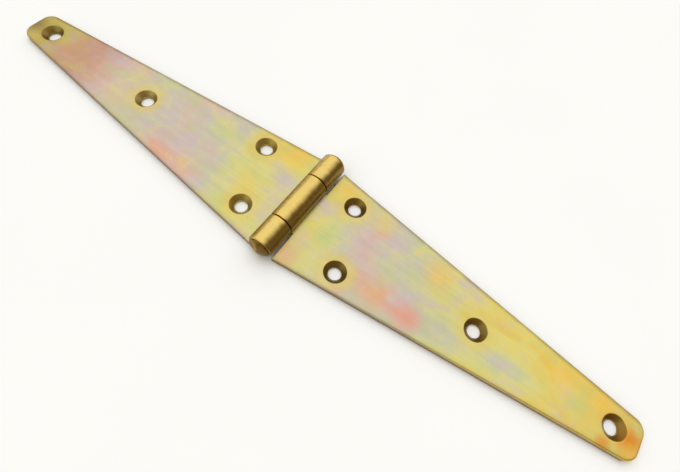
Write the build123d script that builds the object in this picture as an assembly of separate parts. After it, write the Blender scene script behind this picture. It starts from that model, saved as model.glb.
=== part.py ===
"""Strap hinge, lying open and flat on its back.

Two long tapered leaves of steel sheet are joined by one riveted pin.
Each leaf is a single blank. Its knuckles are tongues of the same sheet,
rolled under, round and back over the pin, so the barrel stands on the front
and the whole back lies in one plane.

Frame: the back plane is z = 0. The pin lies along Y, above the origin.
One leaf runs to +X and the other to -X. Sizes are in millimetres.
"""

import os
from math import asin, degrees

from build123d import *

# Leaf blank
leaf_length = 152.4  # pin axis to the tip
joint_width = 49.0  # over the knuckles, at the wide end
tip_width = 15.5  # at the narrow end
sheet_thickness = 3.0
tip_corner_radius = 5.0
front_edge_radius = 0.8  # rounding that the punch leaves on the front outline

# Pin and barrel
pin_diameter = 4.5
pin_clearance = 0.05  # radial, inside every knuckle
centre_knuckle_length = 22.8
knuckle_gap = 0.4  # side play between neighbouring knuckles
knuckle_edge_radius = 0.45
curl_end_gap = 0.3  # seam between the end of the roll and the leaf's front
notch_clearance = 0.4  # between the barrel and the notches beside it

# Pin heads, one formed and one riveted over, alike on the finished hinge
head_inset = 0.7  # the heads stay this far inside the barrel's outline
head_height = 2.3
head_rim = 0.6  # straight edge below the dome

# Screw holes, from the pin axis or from the tip
screw_hole_diameter = 5.4
countersink_diameter = 9.4
countersink_angle = 90.0
shoulder_hole_near = 18.6  # staggered pair at the wide end: pin axis to the nearer hole
shoulder_hole_far = 28.4
shoulder_hole_offset = 14.0  # each side of the centre line
middle_hole_distance = 84.1
tip_hole_margin = 10.5  # tip to the last hole

# Derived from the sizes above
pin_radius = pin_diameter / 2
bore_radius = pin_radius + pin_clearance
barrel_radius = bore_radius + sheet_thickness
notch_depth = barrel_radius + notch_clearance
head_radius = barrel_radius - head_inset
side_knuckle_length = (joint_width - centre_knuckle_length) / 2 - knuckle_gap
half_joint = joint_width / 2
half_centre = centre_knuckle_length / 2
tip_hole_distance = leaf_length - tip_hole_margin
same_place = 1e-6  # points nearer together than this count as one


def leaf_outline(tongues):
    """Blank of a leaf that runs to +X, with a tongue at each (low, high) width."""
    inner_edge = []
    for low, high in tongues:
        inner_edge += [(notch_depth, low), (0, low), (0, high), (notch_depth, high)]
    corners = [(notch_depth, -half_joint), *inner_edge, (notch_depth, half_joint)]
    corners += [(leaf_length, tip_width / 2), (leaf_length, -tip_width / 2)]
    return [spot for place, spot in enumerate(corners) if spot != corners[place - 1]]


def flat_leaf(tongues):
    """The flat sheet, with its rounded tip and its front outline rounded over."""
    with BuildPart() as sheet:
        with BuildSketch():
            with BuildLine():
                Polyline(*leaf_outline(tongues), close=True)
            make_face()
            tip_corners = vertices().group_by(Axis.X)[-1]
            fillet(tip_corners, tip_corner_radius)
        extrude(amount=sheet_thickness)
        front_outline = faces().sort_by(Axis.Z)[-1].edges()
        rounded = [edge for edge in front_outline if is_outer_edge(edge)]
        fillet(rounded, front_edge_radius)
    return sheet.part


def is_outer_edge(edge):
    """True on the long sides and the tip, false on the sheared edges by the barrel."""
    start, end = edge.position_at(0), edge.position_at(1)
    beyond_notch = max(start.X, end.X) > notch_depth + same_place
    on_tongue_side = min(abs(start.Y), abs(end.Y)) > half_joint - same_place
    return beyond_notch or on_tongue_side


def roll_end_angle():
    """Angle from +X at which the roll stops, just clear of the leaf's front."""
    return degrees(asin((curl_end_gap - bore_radius) / barrel_radius))


def knuckle(low, high):
    """One rolled knuckle between two places along the pin.

    Its section is a ring, open from the place below the pin, where it leaves
    the flat sheet, to the end of the roll.
    """
    start = roll_end_angle()
    below_pin = 270
    sweep = below_pin - start
    centre = (0, barrel_radius)
    with BuildPart() as roll:
        with BuildSketch(Plane.XZ.offset(-low)):
            with BuildLine():
                outer = CenterArc(centre, barrel_radius, start, sweep)
                inner = CenterArc(centre, bore_radius, start, sweep)
                Line(outer @ 0, inner @ 0)
                Line(outer @ 1, inner @ 1)
            make_face()
        extrude(amount=low - high)
        rims = edges().filter_by(GeomType.CIRCLE)
        outer_rims = [rim for rim in rims if rim.radius > (bore_radius + barrel_radius) / 2]
        fillet(outer_rims, knuckle_edge_radius)
    return roll.part


def screw_places():
    """Hole centres on a leaf that runs to +X."""
    return [
        (shoulder_hole_near, shoulder_hole_offset),
        (shoulder_hole_far, -shoulder_hole_offset),
        (middle_hole_distance, 0),
        (tip_hole_distance, 0),
    ]


def leaf(tongues):
    """A whole leaf: sheet, rolled knuckles and countersunk screw holes."""
    with BuildPart() as whole:
        add(flat_leaf(tongues))
        for low, high in tongues:
            add(knuckle(low, high))
        with Locations(*[(x, y, sheet_thickness) for x, y in screw_places()]):
            CounterSinkHole(
                screw_hole_diameter / 2,
                countersink_diameter / 2,
                counter_sink_angle=countersink_angle,
            )
    return whole.part


def centre_knuckle_leaf():
    """The leaf to +X, with the one knuckle in the middle of the barrel."""
    return leaf([(-half_centre, half_centre)])


def outer_knuckle_leaf():
    """The leaf to -X, with a knuckle at each end of the barrel."""
    inner_side = half_joint - side_knuckle_length
    blank = leaf([(-half_joint, -inner_side), (inner_side, half_joint)])
    half_turn = 180
    return blank.rotate(Axis.Z, half_turn)


def pin_profile():
    """Half of the pin's section, from end to end, with a spherical dome on each head."""
    dome_height = head_height - head_rim
    dome_radius = (head_radius**2 + dome_height**2) / (2 * dome_height)
    dome_centre = half_joint + head_height - dome_radius
    dome_angle = degrees(asin(head_radius / dome_radius))
    along_pin = 90  # degrees from the section's X axis
    with BuildSketch(Plane.XY) as section:
        with BuildLine():
            far = CenterArc((0, dome_centre), dome_radius, along_pin, -dome_angle)
            near = CenterArc((0, -dome_centre), dome_radius, -along_pin, dome_angle)
            Polyline(
                far @ 1,
                (head_radius, half_joint),
                (pin_radius, half_joint),
                (pin_radius, -half_joint),
                (head_radius, -half_joint),
                near @ 1,
            )
            Line(near @ 0, far @ 0)
        make_face()
    return section.sketch


def hinge_pin():
    """The riveted pin: a plain shank with a low domed head at each end."""
    pin = revolve(pin_profile(), Axis.Y)
    return pin.translate((0, 0, barrel_radius))


def main():
    os.makedirs("parts", exist_ok=True)
    nodes = {
        "outer_knuckle_leaf": outer_knuckle_leaf(),
        "centre_knuckle_leaf": centre_knuckle_leaf(),
        "hinge_pin": hinge_pin(),
    }
    for name, solid in nodes.items():
        export_step(solid, f"parts/{name}.step")


main()
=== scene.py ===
"""Strap hinge in yellow zinc plated steel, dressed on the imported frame.

Two tapered leaves are made as flat blanks with countersunk holes, whose tongues are wound round a riveted pin.
"""

import bmesh
import bpy
import numpy as np
from bpy.props import FloatProperty, FloatVectorProperty, PointerProperty
from mathutils import Matrix, Vector
from mathutils.geometry import delaunay_2d_cdt


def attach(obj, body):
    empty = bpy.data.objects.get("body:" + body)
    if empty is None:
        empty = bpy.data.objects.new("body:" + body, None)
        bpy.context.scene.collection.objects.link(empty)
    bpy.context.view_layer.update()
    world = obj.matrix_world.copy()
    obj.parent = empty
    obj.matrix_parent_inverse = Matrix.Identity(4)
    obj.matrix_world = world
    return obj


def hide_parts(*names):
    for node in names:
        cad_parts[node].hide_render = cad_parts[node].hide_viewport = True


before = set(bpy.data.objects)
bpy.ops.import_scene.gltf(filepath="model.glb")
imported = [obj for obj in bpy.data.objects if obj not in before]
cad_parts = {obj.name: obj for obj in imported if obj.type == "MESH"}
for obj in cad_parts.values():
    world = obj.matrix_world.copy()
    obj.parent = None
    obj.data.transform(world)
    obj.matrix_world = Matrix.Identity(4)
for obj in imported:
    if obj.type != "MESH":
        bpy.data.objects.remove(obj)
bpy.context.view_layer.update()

bl_info = {
    "name": "Strap Hinge",
    "version": (1, 0, 0),
    "blender": (4, 5, 0),
    "location": "View3D > Sidebar > Hinge",
    "description": "Builds a plated strap hinge with two tapered leaves and a riveted pin",
    "category": "Add Mesh",
}

MM = 0.001

# Millimetres along the strap from the pin, and across it.
HOLES = ((18.6, 14.0), (28.4, -14.0), (84.1, 0.0), (141.9, 0.0))

# The angle at which the roll ends, 0.3 mm above the front of its own strap, and the length of its last row of faces.
ROLL_END = np.radians(292.2)
ROLL_LIP = 0.62 * MM

# Points on the arc of a rounded corner, round a screw hole and round the pin.
CORNER_POINTS, HOLE_POINTS, PIN_POINTS = 17, 72, 96

# The plating of each leaf, in millimetres along and across the strap.
# course: place along the strap and thickness of the film there, 0 to 1.
# spots: place, reach along and across, and what the spot adds to the thickness.
# stains: place, reach, strength and colour of a stain on the film.
# smoke: where the film starts to darken towards the tip, where it ends, and by how much. Below 0 it gets lighter.
# bore: how strongly painted shade darkens the countersinks. seed: moves the noise, so that the leaves differ.
OUTER_PLATING = {
    "course": (
        (0, 0.78), (14, 0.80), (34, 0.76), (42, 0.60), (62, 0.55), (72, 0.60), (84, 0.62),
        (95, 0.55), (105, 0.49), (115, 0.41), (125, 0.31), (135, 0.17), (145, 0.08),
    ),
    "spots": ((50, -10, 12, 6, 0.08), (57, 16, 26, 5, -0.16), (16, -19, 10, 7, 0.20), (41, 6, 9, 6, -0.05)),
    "stains": (
        (15.0, -19, 9.0, 0.70, "amber"),
        (24.0, 4, 9.0, 0.30, "amber"),
        (153.5, 0, 10.0, 0.80, "edge"),
        (141.9, 0, 8.5, 0.40, "edge"),
        (20.0, 17, 6.0, 0.40, "amber"),
        (11.0, -6, 8.0, 0.55, "lilac"),
        (95.0, 6, 9.0, 0.40, "straw"),
        (130.0, 4, 9.0, 0.40, "rose"),
    ),
    "smoke": (100, 122, 0.22),
    "bore": 0.55,
    "seed": 4.1,
}
CENTRE_PLATING = {
    "course": (
        (0, 0.84), (9, 0.86), (17, 0.76), (25, 0.62), (32, 0.52), (45, 0.60), (58, 0.67), (70, 0.77),
        (84, 0.88), (100, 0.84), (117, 0.93), (130, 0.92), (142, 0.95),
    ),
    "spots": (
        (46, -12, 10, 5, -0.22), (60, -12, 10, 5, -0.22), (105, -3, 12, 4, -0.14), (30, 4, 9, 8, -0.06),
        (98, 7, 22, 3, 0.12), (78, -9, 12, 5, -0.16), (97, -6, 9, 4, -0.20),
    ),
    "stains": (
        (147.6, -1.2, 7.5, 1.00, "rust"),
        (139.5, -7.5, 4.5, 0.70, "rust"),
        (149.5, -5.0, 6.0, 0.70, "amber"),
        (149.5, 5.0, 4.5, 0.60, "lime"),
        (136.0, 5.0, 8.0, 0.60, "amber"),
        (131.0, -4.0, 7.0, 0.40, "amber"),
        (119.0, 5.0, 9.0, 0.45, "amber"),
        (12.0, 19.0, 6.0, 0.75, "amber"),
        (9.0, -20.0, 9.0, 0.60, "pink"),
        (10.0, -11.0, 7.0, 0.50, "mauve"),
        (17.0, -5.0, 7.0, 0.60, "green"),
        (32.0, 16.0, 9.0, 0.70, "straw"),
        (45.0, -12.0, 10.0, 0.55, "salmon"),
        (60.0, -12.0, 9.0, 0.75, "rose"),
        (62.0, 10.0, 10.0, 0.65, "amber"),
        (49.0, 6.0, 9.0, 0.50, "sage"),
        (128.0, -1.0, 7.0, 0.50, "green"),
    ),
    "smoke": (60, 150, -0.20),
    "bore": 0.85,
    "seed": 9.7,
}


def linear(red, green, blue):
    """A colour as screens write it, 0 to 255, turned into the linear light that shaders use."""
    share = np.array((red, green, blue)) / 255
    light = np.where(share <= 0.04045, share / 12.92, ((share + 0.055) / 1.055) ** 2.4)
    return tuple(float(part) for part in light)


def length(name, description, millimetres):
    """A size in the panel, shown in the scene's unit of length."""
    return FloatProperty(
        name=name, description=description, default=millimetres * MM, min=0, unit="LENGTH", precision=4
    )


def colour(name, description, *screen):
    """A colour in the panel."""
    return FloatVectorProperty(
        name=name, description=description, default=linear(*screen), size=3, min=0, max=1, subtype="COLOR"
    )


class HingeSizes(bpy.types.PropertyGroup):
    """Sizes of the leaves and the pin."""

    leaf_length: length("Leaf length", "From the axis of the pin to the tip of a leaf", 152.4)
    joint_width: length("Joint width", "Width of a leaf beside the barrel, and of the three knuckles together", 49.0)
    tip_width: length("Tip width", "Width of a leaf at its tip", 15.5)
    tip_corner: length("Tip corner radius", "Radius of the two corners at a tip", 5.0)
    thickness: length("Sheet thickness", "Thickness of the steel sheet", 3.0)
    barrel_radius: length("Barrel radius", "Outside radius of the rolled knuckles", 5.3)
    centre_knuckle: length("Centre knuckle", "Length of the knuckle between the other two", 22.8)
    knuckle_gap: length("Knuckle gap", "Room between two knuckles", 0.4)
    notch_room: length("Notch room", "Room between a knuckle and the edge of the other leaf", 0.4)
    front_round: length("Front edge radius", "Radius of the long front edges of a leaf", 0.8)
    knuckle_round: length("Knuckle edge radius", "Radius of the outer edges of a knuckle", 0.45)
    hole: length("Screw hole", "Diameter of a screw hole", 5.4)
    countersink: length("Countersink", "Diameter of a countersink at the front", 9.4)
    pin: length("Pin", "Diameter of the pin", 4.5)
    head_inset: length("Head inset", "How far the rim of a head stays inside the barrel", 0.7)
    head_height: length("Head height", "Height of a riveted head", 2.3)
    head_rim: length("Head rim", "Height of the straight rim of a head", 0.6)


class HingeColours(bpy.types.PropertyGroup):
    """Colours that the plating passes through as its film gets thicker, those of its stains, of painted shade and
    reflection, and the floor's.
    """

    gold: colour("Gold", "Thinnest and thickest film, and halos round the holes", 224, 194, 96)
    straw: colour("Straw", "Thin film", 222, 206, 118)
    salmon: colour("Salmon", "Film between straw and pink", 224, 182, 136)
    pink: colour("Pink", "Film between salmon and mauve", 222, 172, 150)
    mauve: colour("Mauve", "Thicker film", 211, 188, 172)
    sage: colour("Sage", "Grey green film", 201, 197, 170)
    lime: colour("Lime", "Pale green yellow film, thicker than sage", 214, 208, 140)
    lilac: colour("Lilac", "Faint clouds in the film", 206, 186, 192)
    green: colour("Green", "Faint clouds in the film", 190, 202, 130)
    # Edge: darker plating on the edges, and also painted shade on the side walls and along the edges on the +Y side.
    edge: colour("Edge", "Plating on the edges", 134, 104, 54)
    # Countersink: painted shade in the countersinks, which darkens their cones.
    bore: colour("Countersink", "Darker plating in the countersinks", 112, 84, 34)
    rust: colour("Orange", "Orange stains by the screw hole at a tip", 226, 142, 52)
    rose: colour("Rose", "Red stains in the film", 230, 160, 138)
    amber: colour("Amber", "Warm stains in the film", 240, 196, 92)
    pit: colour("Pit", "Small dark pits in the film", 120, 96, 52)
    # Barrel gold: partly painted reflection, a deeper gold for the gold light that the knuckles reflect.
    barrel: colour("Barrel gold", "Colour of the rolled knuckles", 240, 206, 118)
    # Crease: painted shade on both sides of the barrel.
    barrel_side_shade: colour("Crease", "Darker plating on the two sides of the barrel", 100, 74, 26)
    # Pin colours: darker in part as painted shade of the pin's ends.
    pin_head: colour("Pin head", "Darker colour of the riveted pin", 112, 86, 40)
    pin_high: colour("Pin light", "Lighter colour of the riveted pin", 178, 142, 66)
    pin_grain: colour("Pin grain", "Specks on the riveted pin", 128, 98, 48)
    floor: colour("Floor", "Colour of the floor", 250, 252, 253)
    floor_shade: colour("Floor clouds", "Faint clouds in the floor", 248, 250, 251)


class Number:
    """A socket that carries one number. Its operators add Math nodes, so shader maths reads as plain expressions."""

    def __init__(self, nodes, socket):
        self.nodes, self.socket = nodes, socket

    def __add__(self, other):
        return self.nodes.maths("ADD", self, other)

    def __sub__(self, other):
        return self.nodes.maths("SUBTRACT", self, other)

    def __rsub__(self, other):
        return self.nodes.maths("SUBTRACT", other, self)

    def __mul__(self, other):
        return self.nodes.maths("MULTIPLY", self, other)

    def __truediv__(self, other):
        return self.nodes.maths("DIVIDE", self, other)

    def __neg__(self):
        return self.nodes.maths("MULTIPLY", self, -1.0)

    __radd__, __rmul__ = __add__, __mul__

    def step(self, low, high):
        """0 up to low, 1 from high on, and a smooth rise between them. It falls where low is above high."""
        if low > high:
            return 1 - self.step(high, low)
        settings = {"interpolation_type": "SMOOTHSTEP", "clamp": True}
        node = self.nodes.add("ShaderNodeMapRange", settings, {"Value": self, "From Min": low, "From Max": high})
        return Number(self.nodes, node.outputs[0])


class Nodes:
    """The node tree of a material or of the world, emptied."""

    def __init__(self, owner):
        owner.use_nodes = True
        self.tree = owner.node_tree
        self.tree.nodes.clear()

    def add(self, kind, settings=None, values=None):
        """Adds a node of that kind. Its settings are set first, then the values or links of its sockets."""
        node = self.tree.nodes.new(kind)
        settings = dict(settings or {})
        stops = settings.pop("stops", None)
        for name, setting in settings.items():
            setattr(node, name, setting)
        if stops:
            ramp = node.color_ramp
            while len(ramp.elements) < len(stops):
                ramp.elements.new(1.0)
            for element, (place, _) in zip(ramp.elements, stops):
                element.position = place
            for element, (_, shade) in zip(ramp.elements, stops):
                element.color = (*shade, 1) if np.ndim(shade) else (shade, shade, shade, 1)
        for name, value in (values or {}).items():
            socket = node.inputs[name]
            if isinstance(value, Number):
                value = value.socket
            if isinstance(value, bpy.types.NodeSocket):
                self.tree.links.new(value, socket)
            elif np.ndim(value) and len(value) == 3 and len(socket.default_value) == 4:
                socket.default_value = (*value, 1)
            else:
                socket.default_value = value
        return node

    def maths(self, operation, *values):
        """A Math node of that operation on these values, which are numbers or wrapped sockets."""
        return Number(self, self.add("ShaderNodeMath", {"operation": operation}, dict(enumerate(values))).outputs[0])

    def distance(self, first, second):
        """The distance to a place, as sqrt(first^2 + second^2) from the distances to it along two axes."""
        return self.maths("SQRT", first * first + second * second)

    def mix(self, share, first, second, way="MIX"):
        """A colour between two others, or their product and the like where way says so."""
        settings = {"data_type": "RGBA", "blend_type": way, "clamp_factor": True}
        return self.add("ShaderNodeMix", settings, {0: share, 6: first, 7: second}).outputs[2]

    def vector(self, operation, *values):
        """A Vector Math node on these vectors."""
        return self.add("ShaderNodeVectorMath", {"operation": operation}, dict(enumerate(values))).outputs[0]

    def noise(self, place, stretch, detail=3.0, roughness=0.5, distortion=0.0, shift=(0, 0, 0)):
        """Noise between -0.5 and 0.5, whose grains are 1 over stretch long along each axis, in metres."""
        moved = self.vector("ADD", self.vector("MULTIPLY", place, stretch), shift)
        values = {"Vector": moved, "Scale": 1.0, "Detail": detail, "Roughness": roughness, "Distortion": distortion}
        return Number(self, self.add("ShaderNodeTexNoise", {}, values).outputs[0]) - 0.5

    def parts(self, vector):
        """The three numbers of a vector."""
        return [Number(self, part) for part in self.add("ShaderNodeSeparateXYZ", {}, {0: vector}).outputs]

    def ramp(self, number, stops, interpolation):
        """A ramp over 0 to 1. A stop is a place and a colour, or a place and a grey."""
        node = self.add("ShaderNodeValToRGB", {"stops": stops}, {0: number})
        node.color_ramp.interpolation = interpolation
        return node.outputs[0]

    def metal(self, shade, roughness, relief, bump_strength, bump_distance):
        """The shader and output of a plated surface."""
        bump_values = {"Strength": bump_strength, "Distance": bump_distance, "Height": relief}
        bump = self.add("ShaderNodeBump", {}, bump_values).outputs[0]
        values = {"Base Color": shade, "Metallic": 1.0, "Roughness": roughness, "Normal": bump}
        shader = self.add("ShaderNodeBsdfPrincipled", {}, values)
        self.add("ShaderNodeOutputMaterial", {}, {"Surface": shader.outputs[0]})


def film_colour(nodes, film, colours):
    """The colours that the film shows from thin to thick, evenly mixed between stops."""
    stops = (
        (0.00, colours.gold),
        (0.14, colours.straw),
        (0.27, colours.salmon),
        (0.38, colours.pink),
        (0.50, colours.mauve),
        (0.63, colours.sage),
        (0.76, colours.lime),
        (0.88, colours.straw),
        (1.00, colours.gold),
    )
    return nodes.ramp(film, stops, "LINEAR")


def plate_finish(name, plating, sizes, colours):
    """Yellow zinc plating of a leaf, from its table of plating.

    The thickness of the film is a smooth course along the strap, plus cloudy noise and soft spots, each
    exp(-(u^2 + v^2)) with u and v the distances along and across over the reach. Over the film's colour lie faint
    clouds, halos round the holes, stains, darker plating on the edges, and painted shade on the side walls, along the
    edges on the +Y side and in the countersinks. The rolled knuckles get a deeper gold, partly a painted reflection of
    the gold that they face, with painted shade on both sides of the barrel. Fine lines from rolling run along the
    strap in colour, roughness and bump. Places and distances are in millimetres.
    """
    material = bpy.data.materials.new(name)
    nodes = Nodes(material)
    seed = plating["seed"]
    to_millimetres = (1 / MM, 1 / MM, 1 / MM)
    sheet = nodes.add("ShaderNodeAttribute", {"attribute_name": "sheet"}).outputs["Vector"]
    along, across, height = nodes.parts(nodes.vector("MULTIPLY", sheet, to_millimetres))
    place = nodes.add("ShaderNodeTexCoord").outputs["Object"]
    right, away, _ = nodes.parts(nodes.vector("MULTIPLY", place, to_millimetres))

    cloud = nodes.noise(sheet, (55.0, 85.0, 30.0), 4.0, 0.55, 0.6, (seed, 0, 0))
    veil = nodes.noise(sheet, (62.0, 88.0, 40.0), 3.0, 0.55, 0.3, (11, seed, 0))
    warmth = nodes.noise(sheet, (75.0, 95.0, 40.0), 4.0, 0.6, 0.8, (seed, 0, 7))
    mottle = nodes.noise(sheet, (230.0, 330.0, 60.0), 5.0, 0.6, 0.0, (0, seed, 0))
    lines = nodes.noise(sheet, (14.0, 2600.0, 300.0), 4.0, 0.65, 0.0, (seed, seed, 0))
    broad_lines = nodes.noise(sheet, (9.0, 420.0, 60.0), 2.0, 0.5, 0.0, (0, seed, seed))
    dents = nodes.noise(sheet, (190.0, 380.0, 190.0), 2.0, 0.5, 0.0, (seed, 5, 0))
    grain = nodes.noise(sheet, (520.0, 900.0, 520.0), 4.0)
    pits = nodes.noise(sheet, (1900.0, 1900.0, 1900.0), 2.0, 0.5, 0.0, (3, seed, 1)).step(0.20, 0.28)

    full_length, thick, sink = sizes.leaf_length / MM, sizes.thickness / MM, sizes.countersink / 2 / MM
    stops = [(stop / full_length, thickness) for stop, thickness in plating["course"]]
    film = Number(nodes, nodes.ramp((along + cloud * 16) / full_length, stops, "EASE"))
    for spot_along, spot_across, reach_along, reach_across, added in plating["spots"]:
        first = (along + cloud * 10 - spot_along) / reach_along
        second = (across + cloud * 7 - spot_across) / reach_across
        film = film + nodes.maths("EXPONENT", -(first * first + second * second)) * added
    film = film + cloud * 0.36 + mottle * 0.11 + broad_lines * 0.08

    shade = film_colour(nodes, film, colours)
    shade = nodes.mix(veil.step(0.0, 0.22) * 0.6, shade, colours.lilac)
    shade = nodes.mix(veil.step(0.0, -0.22) * 0.42, shade, colours.green)
    shade = nodes.mix(warmth.step(0.03, 0.22) * 0.45, shade, colours.straw)

    halo = countersinks = 0
    for hole_along, hole_across in HOLES:
        distance = nodes.distance(along - hole_along, across - hole_across)
        halo = nodes.maths("MAXIMUM", halo, (distance + cloud * 6 + mottle * 2).step(sink + 6.3, sink + 0.2))
        inside = (distance + mottle * 0.5).step(sink + 0.2, sink - 0.2)
        countersinks = nodes.maths("MAXIMUM", countersinks, inside)
    shade = nodes.mix(halo * 0.68, shade, nodes.mix(cloud.step(-0.12, 0.12), colours.straw, colours.gold))
    for stain_along, stain_across, reach, strength, stain in plating["stains"]:
        distance = nodes.distance(along + mottle * 3 + cloud * 5 - stain_along, across + mottle * 3 - stain_across)
        shade = nodes.mix(distance.step(reach, 0.0) * strength, shade, getattr(colours, stain))

    wide, narrow = sizes.joint_width / 2 / MM, sizes.tip_width / 2 / MM
    notch = (sizes.barrel_radius + sizes.notch_room) / MM
    taper = (narrow - wide) / (full_length - notch)
    half_width = wide + (nodes.maths("MAXIMUM", along, notch) - notch) * taper
    to_edge = half_width - nodes.maths("ABSOLUTE", across)
    # Darker plating along the edges, with painted shade added along the edges on the +Y side.
    band = (to_edge + mottle * 1.2 + cloud).step(2.2, 0.3)
    shade = nodes.mix(band * (0.12 + away.step(-4, 4) * 0.46), shade, colours.edge)
    # Painted shade on the side walls.
    side_wall_shade = to_edge.step(0.45, 0.1) * (height + mottle * 0.4).step(thick - 0.25, thick - 0.9)
    shade = nodes.mix(side_wall_shade * 0.85, shade, colours.edge)
    # Painted shade in the countersinks: the bore colour darkens their cones.
    shade = nodes.mix(countersinks * height.step(0.02, 0.2) * plating["bore"], shade, colours.bore)

    rolled = (along + mottle * 1.5).step(3.0, -1.5)
    # Deeper gold on the knuckles, partly a painted reflection of the gold around them.
    shade = nodes.mix(rolled * 0.85, shade, colours.barrel)
    # Painted shade on both sides of the barrel, towards the strap on +X and on the -X side.
    strap_side_shade, far_side_shade = (right + mottle * 2.5).step(0.3, 3.6), (mottle * 2.5 - right).step(2.3, 4.5)
    shade = nodes.mix(nodes.maths("MAXIMUM", strap_side_shade, far_side_shade) * rolled * 0.82, shade, colours.barrel_side_shade)

    smoke_start, smoke_end, smoke = plating["smoke"]
    tone = 1.035 + lines * 0.20 + mottle * 0.14 + broad_lines * 0.10 + warmth * 0.14
    tone = tone - along.step(smoke_start, smoke_end) * smoke
    # Painted shade: the walls and the lower roundings of the edges are made 12% darker.
    tone = tone * (1 - to_edge.step(0.9, 0.0) * height.step(thick - 0.4, thick - 1.8) * 0.12)
    tones = nodes.add("ShaderNodeCombineXYZ", {}, {0: tone, 1: tone, 2: tone}).outputs[0]
    shade = nodes.mix(1.0, shade, tones, "MULTIPLY")
    shade = nodes.mix(pits * 0.22, shade, colours.pit)

    roughness = 0.35 - rolled * 0.05 + mottle * 0.16 + lines * 0.18 + cloud * 0.08 + pits * 0.15
    relief = dents * rolled * 20 + lines * (0.55 - rolled * 0.35) + grain * 0.5 - pits * 0.6
    nodes.metal(shade, roughness, relief, bump_strength=0.30, bump_distance=0.04 * MM)
    return material


def pin_finish(colours):
    """Plating of the pin: deeper gold, darker in part as painted shade, blotched and dented by riveting."""
    material = bpy.data.materials.new("pin_plating")
    nodes = Nodes(material)
    place = nodes.add("ShaderNodeTexCoord").outputs["Object"]
    cloud = nodes.noise(place, (260.0, 260.0, 260.0), 4.0, 0.6)
    grain = nodes.noise(place, (1500.0, 1500.0, 1500.0), 4.0, 0.6)
    shade = nodes.mix(cloud.step(-0.1, 0.16), colours.pin_head, colours.pin_high)
    shade = nodes.mix(grain.step(0.06, 0.3) * 0.4, shade, colours.pin_grain)
    roughness, relief = 0.42 + grain * 0.2 + cloud * 0.1, cloud + grain * 0.35
    nodes.metal(shade, roughness, relief, bump_strength=0.5, bump_distance=0.2 * MM)
    return material


def corner(before, at, after, radius):
    """A corner of an outline, rounded: points on the arc that touches both sides. Without a radius it is one point."""
    if radius == 0:
        return at[None]
    first, second = before - at, after - at
    first, second = first / np.linalg.norm(first), second / np.linalg.norm(second)
    half = np.arccos(first @ second) / 2
    bisector = (first + second) / np.linalg.norm(first + second)
    centre = at + bisector * radius / np.sin(half)
    start = at + first * radius / np.tan(half) - centre
    turn = np.pi - 2 * half
    if first[0] * second[1] - first[1] * second[0] > 0:
        turn = -turn
    angle = np.linspace(0, turn, CORNER_POINTS)
    cosine, sine = np.cos(angle), np.sin(angle)
    return centre + np.stack((start[0] * cosine - start[1] * sine, start[0] * sine + start[1] * cosine), axis=1)


def outline(stations):
    """A closed outline from its corners, each with a radius and the number of steps to the next corner."""
    places = np.array([station[:2] for station in stations])
    arcs = [
        corner(places[number - 1], places[number], places[(number + 1) % len(places)], station[2])
        for number, station in enumerate(stations)
    ]
    runs = []
    for number, station in enumerate(stations):
        first, last = arcs[number][-1], arcs[(number + 1) % len(arcs)][0]
        share = np.arange(1, station[3])[:, None] / station[3]
        runs += [arcs[number], first + (last - first) * share]
    return np.concatenate(runs)


def inward(loop):
    """For each point of a closed loop the step that moves both its sides to the left by one, as a mitre does.

    It is (m + n) / (1 + m.n), with m and n the unit normals of the two sides.
    """
    side = np.roll(loop, -1, axis=0) - loop
    side = side / np.linalg.norm(side, axis=1)[:, None]
    normal = np.stack((-side[:, 1], side[:, 0]), axis=1)
    before = np.roll(normal, 1, axis=0)
    return (before + normal) / (1 + np.sum(before * normal, axis=1))[:, None]


def edge_rings(loop, offsets, heights):
    """Rings of an edge: ring k moves each point of the loop inwards by offsets[k] and up to heights[k]."""
    plan = loop[None] + inward(loop)[None] * offsets[:, :, None]
    return np.concatenate((plan, np.broadcast_to(heights[:, :, None], (*heights.shape, 1))), axis=2)


def rounded_edge(front, back, thickness, support):
    """Offsets and heights of an edge with a quarter circle of radius back below and one of radius front above.

    Support is how far the first and last rings lie inside the roundings, on the flat faces.
    """
    low = np.linspace(0, np.pi / 2, 5)[:, None]
    high = np.linspace(0, np.pi / 2, 8)[:, None]
    offsets = (back + support)[None], back * (1 - np.sin(low)), front * (1 - np.cos(high)), (front + support)[None]
    level = np.zeros_like(front)[None]
    heights = level, back * (1 - np.cos(low)), thickness - front * (1 - np.sin(high)), level + thickness
    return np.concatenate(offsets), np.concatenate(heights)


def countersunk_edge(sizes, count):
    """Offsets and heights of a hole, from back to front: its bore, a 90 degree countersink, and broken rims."""
    depth = (sizes.countersink - sizes.hole) / 2
    thickness = sizes.thickness
    broken, rim = 0.12 * MM, 0.16 * MM
    back_support, front_support = 0.3 * MM, 0.35 * MM
    points = np.array(
        (
            (broken + back_support, 0),
            (broken, 0),
            (broken * 0.3, broken * 0.3),
            (0, broken),
            (0, (thickness - depth) * 0.55),
            (0, thickness - depth - broken),
            (broken * 0.3, thickness - depth + broken * 0.1),
            (broken, thickness - depth + broken),
            (depth * 0.5, thickness - depth * 0.5),
            (depth - rim, thickness - rim),
            (depth - rim * 0.45, thickness - rim * 0.55),
            (depth + rim * 0.3, thickness - rim * 0.12),
            (depth + rim * 1.1, thickness),
            (depth + rim + front_support, thickness),
        )
    )
    return np.broadcast_to(points[:, :1], (len(points), count)), np.broadcast_to(points[:, 1:], (len(points), count))


def tongue_length(sizes):
    """Length of a flat tongue from the pin's axis: the angle of the roll times the radius of the sheet's middle."""
    return ROLL_END * (sizes.barrel_radius - sizes.thickness / 2)


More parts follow.
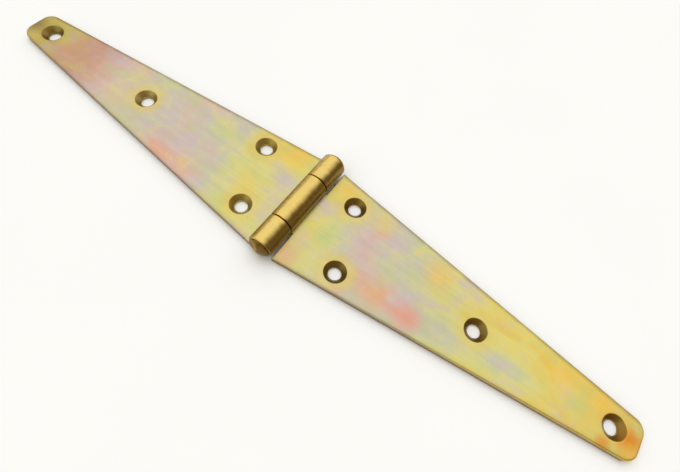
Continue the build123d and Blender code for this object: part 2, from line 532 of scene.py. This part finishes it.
def wound(points, sizes):
    """Puts the flat blank in space. Its points are along the strap, across it and above its back.

    Ahead of the pin the blank stays flat. Behind it the blank is wound round the pin: the angle is the distance over
    the radius of the sheet's middle, and the radius is the barrel's less the height above the back.
    """
    along, across, height = np.moveaxis(points, -1, 0)
    middle = sizes.barrel_radius - sizes.thickness / 2
    angle = np.maximum(-along, 0) / middle
    radius = sizes.barrel_radius - height
    x = np.where(along < 0, -radius * np.sin(angle), along)
    z = np.where(along < 0, sizes.barrel_radius - radius * np.cos(angle), height)
    return np.stack((x, across, z), axis=-1)


def strips(first, rings, around):
    """Four-sided faces between neighbouring rings of a closed loop, numbered from first."""
    ring, point = np.meshgrid(np.arange(rings - 1), np.arange(around), indexing="ij")
    following = (point + 1) % around
    low, high = ring * around, (ring + 1) * around
    faces = np.stack((low + point, low + following, high + following, high + point))
    return first + faces.reshape(4, -1).T


def filled(loops, numbers, rows):
    """Delaunay triangles that fill a flat region between an outline and its holes. rows are lines that stay edges.

    Triangles that follow a loop's direction along it are inside, and so are those that share a free side with them.
    """
    plan = np.concatenate(loops)
    numbers = np.concatenate(numbers)
    rim_edges, first = [], 0
    for loop in loops:
        index = np.arange(len(loop))
        rim_edges.append(first + np.stack((index, (index + 1) % len(loop)), axis=1))
        first += len(loop)
    edges = np.concatenate((*rim_edges, rows)).tolist()
    made = delaunay_2d_cdt([Vector(point) for point in (plan / MM).tolist()], edges, [], 0, 1e-5, True)
    origin = [ids[0] if ids else -1 for ids in made[3]]
    if min(origin) < 0 or len(origin) != len(plan):
        raise RuntimeError("The outline of a leaf crosses itself or a hole")
    triangles = np.array(origin)[np.array(made[2])]
    following = np.concatenate([edge[:, 1] for edge in rim_edges])
    sides = np.stack((triangles, np.roll(triangles, -1, axis=1)), axis=-1).reshape(-1, 2)
    owner = np.repeat(np.arange(len(triangles)), 3)
    with_rim = following[sides[:, 0]] == sides[:, 1]
    free = ~with_rim & (following[sides[:, 1]] != sides[:, 0])
    keys = np.sort(sides[free], axis=1) @ (len(plan), 1)
    order = np.argsort(keys)
    shared = keys[order][1:] == keys[order][:-1]
    first, second = owner[free][order][:-1][shared], owner[free][order][1:][shared]
    inside = np.zeros(len(triangles), bool)
    inside[owner[with_rim]] = True
    reached = 0
    while reached < inside.sum():
        reached = inside.sum()
        np.logical_or.at(inside, first, inside[second])
        np.logical_or.at(inside, second, inside[first])
    return numbers[triangles[inside]]


def shaded(name, points, faces, material, smooth_below=32):
    """A mesh object whose faces are smooth but for edges sharper than smooth_below degrees.

    Open edges are an error, and so are faces that point inwards.
    """
    mesh = bpy.data.meshes.new(name)
    mesh.from_pydata(points.tolist(), [], faces)
    mesh.update()
    check = bmesh.new()
    check.from_mesh(mesh)
    open_edges = [edge for edge in check.edges if not edge.is_manifold]
    volume = check.calc_volume(signed=True)
    check.free()
    if open_edges or volume <= 0:
        raise RuntimeError(f"{name} has {len(open_edges)} open edges and encloses {volume:.3g} cubic metres")
    mesh.shade_smooth()
    mesh.set_sharp_from_angle(angle=np.radians(smooth_below))
    mesh.materials.append(material)
    piece = bpy.data.objects.new(name, mesh)
    bpy.context.collection.objects.link(piece)
    return piece


def blank_outline(sizes, outer):
    """The outline of a flat blank, and the pairs of sides of its tongues. outer says that it has the two outer ones.

    A station is a place along and across, the radius of the corner there, and the number of steps to the next one.
    """
    end = -tongue_length(sizes)
    near_end = end + ROLL_LIP
    notch = sizes.barrel_radius + sizes.notch_room
    wide, narrow = sizes.joint_width / 2, sizes.tip_width / 2
    centre = sizes.centre_knuckle / 2
    round_steps, strap_steps, few = 74, 60, 4

    def back_from_end(side):
        """Stations along one side of a tongue, from its end to the strap."""
        return [(end, side, 0, 1), (near_end, side, 0, round_steps), (0.0, side, 0, few)]

    def out_to_end(side, end_steps):
        """Stations along one side of a tongue, from the strap to its end, and the steps along that end."""
        return [(0.0, side, 0, round_steps), (near_end, side, 0, 1), (end, side, 0, end_steps)]

    tip = [
        (notch, -wide, 0, strap_steps),
        (sizes.leaf_length, -narrow, sizes.tip_corner, 3),
        (sizes.leaf_length, narrow, sizes.tip_corner, strap_steps),
    ]
    if outer:
        inner = centre + sizes.knuckle_gap
        stations = [*back_from_end(-wide), *tip, (notch, wide, 0, few), *out_to_end(wide, 6)]
        stations += [*back_from_end(inner), (notch, inner, 0, 12), (notch, -inner, 0, few), *out_to_end(-inner, 6)]
        return outline(stations), ((-wide, -inner), (inner, wide))
    stations = [*back_from_end(-centre), (notch, -centre, 0, 6), *tip]
    stations += [(notch, wide, 0, 6), (notch, centre, 0, few), *out_to_end(centre, 8)]
    return outline(stations), ((-centre, centre),)


def make_leaf(name, sizes, material, outer, turned):
    """One leaf, from the outline of its flat blank.

    outer says that its tongues are the two outer ones, and turned that it points along -X. The rim of the blank and
    the holes are rings of an edge profile, both faces are filled between them, and the whole is wound round the pin.
    """
    loop, sides = blank_outline(sizes, outer)
    along = loop[:, 0]
    end = -tongue_length(sizes)
    notch = sizes.barrel_radius + sizes.notch_room

    # The radii of the rim: small inside the roll and on the back of the strap, larger on a knuckle's outside.
    on_strap = along > notch + 0.01 * MM
    inside_roll = np.interp(along, (-2 * MM, 0, notch), np.array((0.12, 0.2, 0.3)) * MM)
    front = np.where(on_strap, sizes.front_round, inside_roll)
    back_places = (end + 0.1 * MM, end + 1 * MM, -2 * MM, 0, notch)
    back = np.interp(along, back_places, np.array((0.3, 0.45, 0.45, 0.2, 0.12)) * MM)
    back = back * sizes.knuckle_round / (0.45 * MM)
    rims = [edge_rings(loop, *rounded_edge(front, back, sizes.thickness, support=0.22 * MM))]
    turn = -np.arange(HOLE_POINTS) * 2 * np.pi / HOLE_POINTS
    for place in HOLES:
        circle = np.array(place) * MM + sizes.hole / 2 * np.stack((np.cos(turn), np.sin(turn)), axis=1)
        rims.append(edge_rings(circle, *countersunk_edge(sizes, HOLE_POINTS)))

    starts = np.cumsum([0] + [rim.shape[0] * rim.shape[1] for rim in rims])
    walls = [strips(start, *rim.shape[:2]) for start, rim in zip(starts, rims)]
    # Lines from side to side of each tongue, along which its faces bend when it is wound.
    rows = []
    for first, second in sides:
        pair = [np.flatnonzero(np.isclose(loop[:, 1], side, atol=1e-7) & (along < 1e-7)) for side in (first, second)]
        pair = [numbers[np.argsort(along[numbers])] for numbers in pair]
        rows.append(np.stack(pair, axis=1)[1:])
    rows = np.concatenate(rows)
    back_numbers = [start + np.arange(rim.shape[1]) for start, rim in zip(starts, rims)]
    front_numbers = [numbers + (rim.shape[0] - 1) * rim.shape[1] for numbers, rim in zip(back_numbers, rims)]
    backs = filled([rim[0, :, :2] for rim in rims], back_numbers, rows)
    fronts = filled([rim[-1, :, :2] for rim in rims], front_numbers, rows)

    flat = np.concatenate([rim.reshape(-1, 3) for rim in rims])
    points = wound(flat, sizes)
    if turned:
        points = points * (-1, -1, 1)
    faces = [face for group in (*walls, backs[:, ::-1], fronts) for face in group.tolist()]
    piece = shaded(name, points, faces, material)
    sheet = piece.data.attributes.new("sheet", "FLOAT_VECTOR", "POINT")
    sheet.data.foreach_set("vector", flat.ravel())
    return piece


def lathed(profile, around, height):
    """A profile of (place along Y, radius) turned about the line at that height. Its two ends are closed at poles."""
    turn = np.arange(around) * 2 * np.pi / around
    along, radius = profile[1:-1].T
    x = radius[:, None] * np.cos(turn)
    z = height + radius[:, None] * np.sin(turn)
    rings = np.stack((x, np.broadcast_to(along[:, None], x.shape), z), axis=-1)
    poles = np.array([(0, profile[0, 0], height), (0, profile[-1, 0], height)])
    faces = strips(0, len(along), around)[:, ::-1]
    point = np.arange(around)
    following = (point + 1) % around
    last = (len(along) - 1) * around
    total = len(along) * around
    near = np.stack((point, following, np.full(around, total)), axis=1)
    far = np.stack((last + following, last + point, np.full(around, total + 1)), axis=1)
    return np.concatenate((rings.reshape(-1, 3), poles)), faces.tolist() + near.tolist() + far.tolist()


def head_profile(sizes):
    """Half of a head, from its pole down to the shank: a dome, a rounded rim and a seat on the knuckle.

    The dome is an arc of a circle through the pole and the rim, and each rounding is a parabola between its ends.
    """
    seat = sizes.joint_width / 2
    rim_radius = sizes.barrel_radius - sizes.head_inset
    shank_radius = sizes.pin / 2
    top, rim = seat + sizes.head_height, seat + sizes.head_rim
    rise = top - rim
    sphere = (rim_radius**2 + rise**2) / (2 * rise)
    upper_round, lower_round, support = 0.25 * MM, 0.2 * MM, 0.3 * MM
    angle = np.linspace(0, np.arcsin((rim_radius - 0.45 * MM) / sphere), 14)
    dome = np.stack((top - sphere * (1 - np.cos(angle)), sphere * np.sin(angle)), axis=1)

    def rounding(first, middle, last):
        """A parabola from first to last, which touches the lines to middle."""
        share = np.linspace(0, 1, 7)[1:, None]
        first, middle, last = np.array(first), np.array(middle), np.array(last)
        return first * (1 - share) ** 2 + middle * 2 * share * (1 - share) + last * share**2

    outer = rounding(dome[-1], (rim, rim_radius), (rim - upper_round, rim_radius))
    low_rim = (seat + lower_round, rim_radius)
    lower = rounding(low_rim, (seat, rim_radius), (seat, rim_radius - lower_round))
    shank = ((seat, shank_radius + support), (seat, shank_radius), (seat - support, shank_radius))
    return np.concatenate((dome, outer, (low_rim,), lower, shank))


def stage_light():
    """World light, bright but for the right and the horizon, as beside a large soft box. The camera sees it white."""
    world = bpy.data.worlds.new("studio")
    bpy.context.scene.world = world
    nodes = Nodes(world)
    right, away, up = nodes.parts(nodes.add("ShaderNodeTexCoord").outputs["Generated"])
    low_right = (right * 0.94 - away * 0.34 - up * 0.55).step(-0.26, 0.20)
    horizon = up.step(0.42, 0.14)
    dark = nodes.maths("MAXIMUM", low_right, horizon)
    seen = Number(nodes, nodes.add("ShaderNodeLightPath").outputs["Is Camera Ray"])
    glow = nodes.mix(dark * (1 - seen), linear(255, 255, 253), linear(168, 150, 120))
    background = nodes.add("ShaderNodeBackground", {}, {"Color": glow, "Strength": 1.0})
    nodes.add("ShaderNodeOutputWorld", {}, {"Surface": background.outputs[0]})


def floor_finish(colours):
    """Pale paper: dull and faintly uneven."""
    material = bpy.data.materials.new("pale_floor")
    nodes = Nodes(material)
    place = nodes.add("ShaderNodeTexCoord").outputs["Object"]
    cloud = nodes.noise(place, (9.0, 9.0, 9.0))
    shade = nodes.mix(cloud.step(-0.3, 0.3), colours.floor, colours.floor_shade)
    shader = nodes.add("ShaderNodeBsdfDiffuse", {}, {"Color": shade})
    nodes.add("ShaderNodeOutputMaterial", {}, {"Surface": shader.outputs[0]})
    return material


def set_camera():
    """A camera at the picture's angle: back is where it looks from, and the picture is rolled about that line."""
    turn, rise, roll = np.radians((21.137, 64.5, 15.876))
    distance, shift_right, shift_up = 180.72 * MM, 17.086 * MM, -11.074 * MM
    picture_width, focal_length = 680, 437.42  # pixels
    back = np.array((np.sin(turn) * np.cos(rise), -np.cos(turn) * np.cos(rise), np.sin(rise)))
    right = np.array((np.cos(turn), np.sin(turn), 0))
    up = np.cross(back, right)
    right, up = np.cos(roll) * right + np.sin(roll) * up, np.cos(roll) * up - np.sin(roll) * right
    data = bpy.data.cameras.new("camera")
    data.sensor_fit = "HORIZONTAL"
    data.sensor_width = 36
    data.lens = data.sensor_width * focal_length / picture_width
    data.clip_start = 0.005
    data.clip_end = 20
    camera = bpy.data.objects.new("camera", data)
    placed = np.eye(4)
    placed[:3, 0], placed[:3, 1], placed[:3, 2] = right, up, back
    placed[:3, 3] = back * distance + right * shift_right + up * shift_up
    camera.matrix_world = Matrix(placed.tolist())
    bpy.context.collection.objects.link(camera)
    bpy.context.scene.camera = camera


def soft_sun(name, towards, spread, strength):
    """A wide soft sun for even light on the floor. Shiny metal shows the world instead of it."""
    data = bpy.data.lights.new(name, "SUN")
    data.angle = np.radians(spread)
    data.energy = strength
    lamp = bpy.data.objects.new(name, data)
    lamp.rotation_euler = Vector(towards).to_track_quat("-Z", "Y").to_euler()
    lamp.visible_glossy = False
    bpy.context.collection.objects.link(lamp)


class HINGE_OT_outer_leaf(bpy.types.Operator):
    """Make the leaf with the two outer knuckles"""

    bl_idname = "hinge.outer_leaf"
    bl_label = "Outer Knuckle Leaf"
    bl_options = {"REGISTER", "UNDO"}

    def execute(self, context):
        sizes, colours = context.scene.hinge_sizes, context.scene.hinge_colours
        finish = plate_finish("outer_leaf_plating", OUTER_PLATING, sizes, colours)
        piece = make_leaf("plated_outer_leaf", sizes, finish, outer=True, turned=True)
        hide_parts("outer_knuckle_leaf")
        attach(piece, "outer_leaf")
        return {"FINISHED"}


class HINGE_OT_centre_leaf(bpy.types.Operator):
    """Make the leaf with the centre knuckle"""

    bl_idname = "hinge.centre_leaf"
    bl_label = "Centre Knuckle Leaf"
    bl_options = {"REGISTER", "UNDO"}

    def execute(self, context):
        sizes, colours = context.scene.hinge_sizes, context.scene.hinge_colours
        finish = plate_finish("centre_leaf_plating", CENTRE_PLATING, sizes, colours)
        piece = make_leaf("plated_centre_leaf", sizes, finish, outer=False, turned=False)
        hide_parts("centre_knuckle_leaf")
        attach(piece, "centre_leaf")
        return {"FINISHED"}


class HINGE_OT_pin(bpy.types.Operator):
    """Make the riveted pin"""

    bl_idname = "hinge.pin"
    bl_label = "Riveted Pin"
    bl_options = {"REGISTER", "UNDO"}

    def execute(self, context):
        sizes = context.scene.hinge_sizes
        half = head_profile(sizes)
        profile = np.concatenate((half * (-1, 1), half[::-1]))
        points, faces = lathed(profile, PIN_POINTS, sizes.barrel_radius)
        piece = shaded("plated_pin", points, faces, pin_finish(context.scene.hinge_colours), smooth_below=50)
        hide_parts("hinge_pin")
        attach(piece, "outer_leaf")
        return {"FINISHED"}


class HINGE_OT_stage(bpy.types.Operator):
    """Make the floor, the light and the camera"""

    bl_idname = "hinge.stage"
    bl_label = "Stage"
    bl_options = {"REGISTER", "UNDO"}

    def execute(self, context):
        half, level = 2.5, -0.1 * MM  # half a side of the floor, and its place just below the backs of the leaves
        mesh = bpy.data.meshes.new("floor")
        corners = [(-half, -half, level), (half, -half, level), (half, half, level), (-half, half, level)]
        mesh.from_pydata(corners, [], [(0, 1, 2, 3)])
        mesh.materials.append(floor_finish(context.scene.hinge_colours))
        floor = bpy.data.objects.new("floor", mesh)
        context.collection.objects.link(floor)
        stage_light()
        soft_sun("soft_sun", (0.4, -0.3, -1.0), spread=60, strength=0.8)
        set_camera()
        context.scene.view_settings.view_transform = "Standard"
        return {"FINISHED"}


class HINGE_PT_panel(bpy.types.Panel):
    """Lists the hinge's pieces, sizes and colours"""

    bl_idname = "HINGE_PT_panel"
    bl_label = "Strap Hinge"
    bl_space_type = "VIEW_3D"
    bl_region_type = "UI"
    bl_category = "Hinge"

    def draw(self, context):
        for operator in OPERATORS:
            self.layout.operator(operator.bl_idname)
        for group in (context.scene.hinge_sizes, context.scene.hinge_colours):
            box = self.layout.box()
            for name in group.__annotations__:
                box.prop(group, name)


OPERATORS = (HINGE_OT_outer_leaf, HINGE_OT_centre_leaf, HINGE_OT_pin, HINGE_OT_stage)
CLASSES = (HingeSizes, HingeColours, *OPERATORS, HINGE_PT_panel)


def register():
    """Adds the classes and the hinge's sizes and colours to Blender."""
    for item in CLASSES:
        bpy.utils.register_class(item)
    bpy.types.Scene.hinge_sizes = PointerProperty(type=HingeSizes)
    bpy.types.Scene.hinge_colours = PointerProperty(type=HingeColours)


def unregister():
    """Takes them out again."""
    del bpy.types.Scene.hinge_colours
    del bpy.types.Scene.hinge_sizes
    for item in reversed(CLASSES):
        bpy.utils.unregister_class(item)


def main():
    """Makes every piece and the stage."""
    register()
    bpy.ops.hinge.outer_leaf()
    bpy.ops.hinge.centre_leaf()
    bpy.ops.hinge.pin()
    bpy.ops.hinge.stage()


if __name__ == "__main__":
    main()
